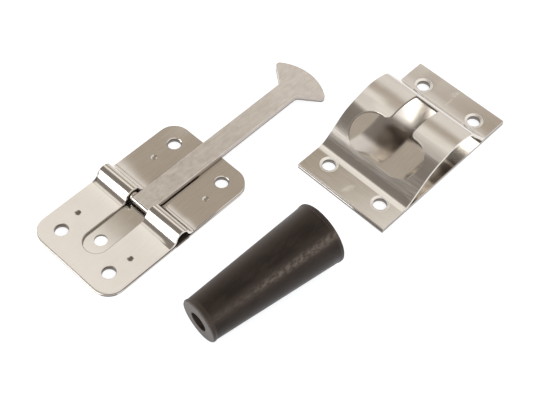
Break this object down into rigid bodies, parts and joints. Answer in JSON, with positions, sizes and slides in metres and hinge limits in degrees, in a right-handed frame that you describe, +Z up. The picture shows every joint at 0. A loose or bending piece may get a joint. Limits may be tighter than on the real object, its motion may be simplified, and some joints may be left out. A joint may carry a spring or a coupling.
{
  "type": "door holder",
  "caption": "Door holder set: a hinged T-headed hook arm on a plate, an arched socket plate that takes the T head, and a tapered rubber bumper.",
  "frame": {"origin": "middle of the hook plate's back face", "axes": "+X along the arm from the hinge to the T head, +Y across the plates, +Z up, away from the surface the plates are screwed to"},
  "size_m": [0.1717, 0.0964, 0.0256],
  "materials": {
    "hook_front_steel": "bright rolled stainless sheet",
    "hook_back_steel": "bright rolled stainless sheet",
    "arm_steel": "satin, brushed lengthwise",
    "socket_front_steel": "bright rolled stainless sheet",
    "socket_back_steel": "polished stainless sheet",
    "bumper_rubber": "moulded black rubber with a faint sheen"
  },
  "bodies": {
    "base": {"hook_front_plate": "hook_front_steel", "hook_back_plate": "hook_back_steel", "socket_front": "socket_front_steel", "socket_back_plate": "socket_back_steel", "rubber_bumper": "bumper_rubber"},
    "arm": {"hook_arm": "arm_steel"}
  },
  "joints": [
    {"name": "arm_hinge", "type": "hinge", "parent": "base", "child": "arm", "pos_m": [0, 0, 0.0036], "axis": [0, -1, 0], "range_deg": [0, 180]}
  ]
}
